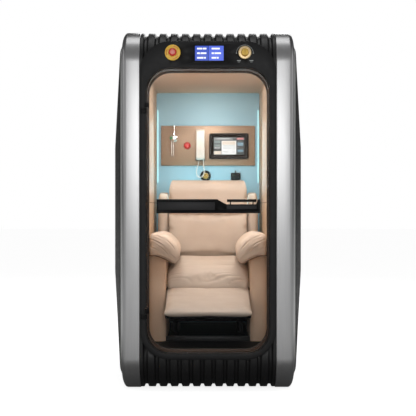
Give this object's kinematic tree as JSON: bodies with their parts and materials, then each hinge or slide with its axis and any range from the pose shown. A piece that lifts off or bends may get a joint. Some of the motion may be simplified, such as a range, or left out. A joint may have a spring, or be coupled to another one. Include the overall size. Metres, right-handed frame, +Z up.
{
  "type": "sit-in wellness steam and oxygen cabin",
  "caption": "Hard-shell sit-in wellness cabin with a clear hinged door, ribbed shell, rear service hatch and a leather recliner under an instrument board.",
  "frame": {"origin": "centre of the bounding box at the underside, where the shell stands on the floor", "axes": "+X to the right seen from the doorway, the doorway faces -Y, +Z up"},
  "size_m": [1.05, 1.83, 1.95],
  "materials": {
    "silver": "satin",
    "trim": "satin",
    "black_shell": "satin",
    "fascia": "matte",
    "bronze": "satin",
    "seal_rubber": "matte",
    "clear": "gloss",
    "bar": "satin",
    "yellow": "satin",
    "red": "satin",
    "gold": "satin",
    "display": "gloss",
    "liner": "satin",
    "blue_wall": "satin",
    "light": "satin",
    "floor": "matte",
    "board": "satin",
    "tablet": "gloss",
    "screen": "gloss",
    "white": "satin",
    "chrome": "polished",
    "green": "satin",
    "leather": "satin",
    "steel": "satin",
    "grey_case": "satin"
  },
  "bodies": {
    "cabin": {"side_frame_left": "silver", "side_frame_right": "silver", "side_trim_left": "trim", "side_trim_right": "trim", "side_cover_left": "black_shell", "side_cover_right": "black_shell", "roof_shell": "black_shell", "base_shell": "black_shell", "rear_shell": "black_shell", "front_fascia": "fascia", "door_reveal": "bronze", "reveal_seam": "seal_rubber", "door_gasket": "seal_rubber", "hinge_block_lower": "bar", "hinge_block_upper": "bar", "stop_collar": "yellow", "display_panel": "display", "floor_deck": "floor", "wall_liner_left": "liner", "wall_liner_right": "liner", "ceiling_liner": "liner", "back_wall": "blue_wall", "light_strip_left": "light", "light_strip_right": "light", "instrument_board": "board", "tablet_housing": "tablet", "tablet_screen": "screen", "handset_cradle": "white", "handset_cord": "white", "call_button_ring": "red", "valve_body": "chrome", "air_port": "seal_rubber", "intercom_box": "bar", "seat_frame": "steel", "seat_cushion": "leather", "arm_left": "leather", "arm_right": "leather", "arm_pad_left": "leather", "arm_pad_right": "leather", "air_unit": "grey_case", "control_box": "grey_case", "power_inlet": "bar"},
    "door": {"door_pane": "clear", "crossbar": "bar", "inside_grip": "bar", "hinge_leaf_lower": "bar", "hinge_leaf_upper": "bar"},
    "paddle": {"latch_paddle": "bar"},
    "stop": {"stop_button": "red"},
    "knob": {"control_knob": "gold"},
    "call": {"call_button": "red"},
    "receiver": {"handset": "white"},
    "valve": {"valve_knob": "green"},
    "backrest": {"backrest_shell": "leather", "back_cushion": "leather", "headrest": "leather"},
    "footrest": {"footrest_frame": "steel", "footrest_pad": "leather"},
    "hatch": {"rear_hatch": "black_shell"},
    "latch": {"hatch_latch": "bar"}
  },
  "joints": [
    {"name": "door_hinge", "type": "hinge", "parent": "cabin", "child": "door", "pos_m": [-0.3316, -0.8875, 1], "axis": [0, 0, -1], "range_deg": [0, 105]},
    {"name": "paddle_slide", "type": "slide", "parent": "door", "child": "paddle", "axis": [0, 0, -1], "range_m": [0, 0.006], "stiffness_N_per_m": 300, "springref_m": -0.012},
    {"name": "stop_press", "type": "slide", "parent": "cabin", "child": "stop", "axis": [0, 1, 0], "range_m": [0, 0.004], "stiffness_N_per_m": 600, "springref_m": -0.002},
    {"name": "knob_turn", "type": "hinge", "parent": "cabin", "child": "knob", "pos_m": [0.197, -0.88, 1.817], "axis": [0, 1, 0], "range_deg": [-135, 135]},
    {"name": "call_press", "type": "slide", "parent": "cabin", "child": "call", "axis": [0, 1, 0], "range_m": [0, 0.004], "stiffness_N_per_m": 400, "springref_m": -0.002},
    {"name": "handset_lift", "type": "slide", "parent": "cabin", "child": "receiver", "axis": [0, -1, 0], "range_m": [0, 0.05]},
    {"name": "valve_turn", "type": "hinge", "parent": "cabin", "child": "valve", "pos_m": [-0.252, 0.574, 1.465], "axis": [0, -1, 0], "range_deg": [0, 90]},
    {"name": "recline", "type": "hinge", "parent": "cabin", "child": "backrest", "pos_m": [0, 0.33, 0.5], "axis": [-1, 0, 0], "range_deg": [0, 14]},
    {"name": "footrest_lift", "type": "hinge", "parent": "cabin", "child": "footrest", "pos_m": [0, -0.254, 0.5], "axis": [-1, 0, 0], "range_deg": [-14, 17]},
    {"name": "hatch_hinge", "type": "hinge", "parent": "cabin", "child": "hatch", "pos_m": [-0.27465, 0.891, 1], "axis": [0, 0, 1], "range_deg": [0, 110]},
    {"name": "hatch_latch_turn", "type": "hinge", "parent": "hatch", "child": "latch", "pos_m": [0.2448, 0.885, 1], "axis": [0, -1, 0], "range_deg": [0, 90]}
  ]
}
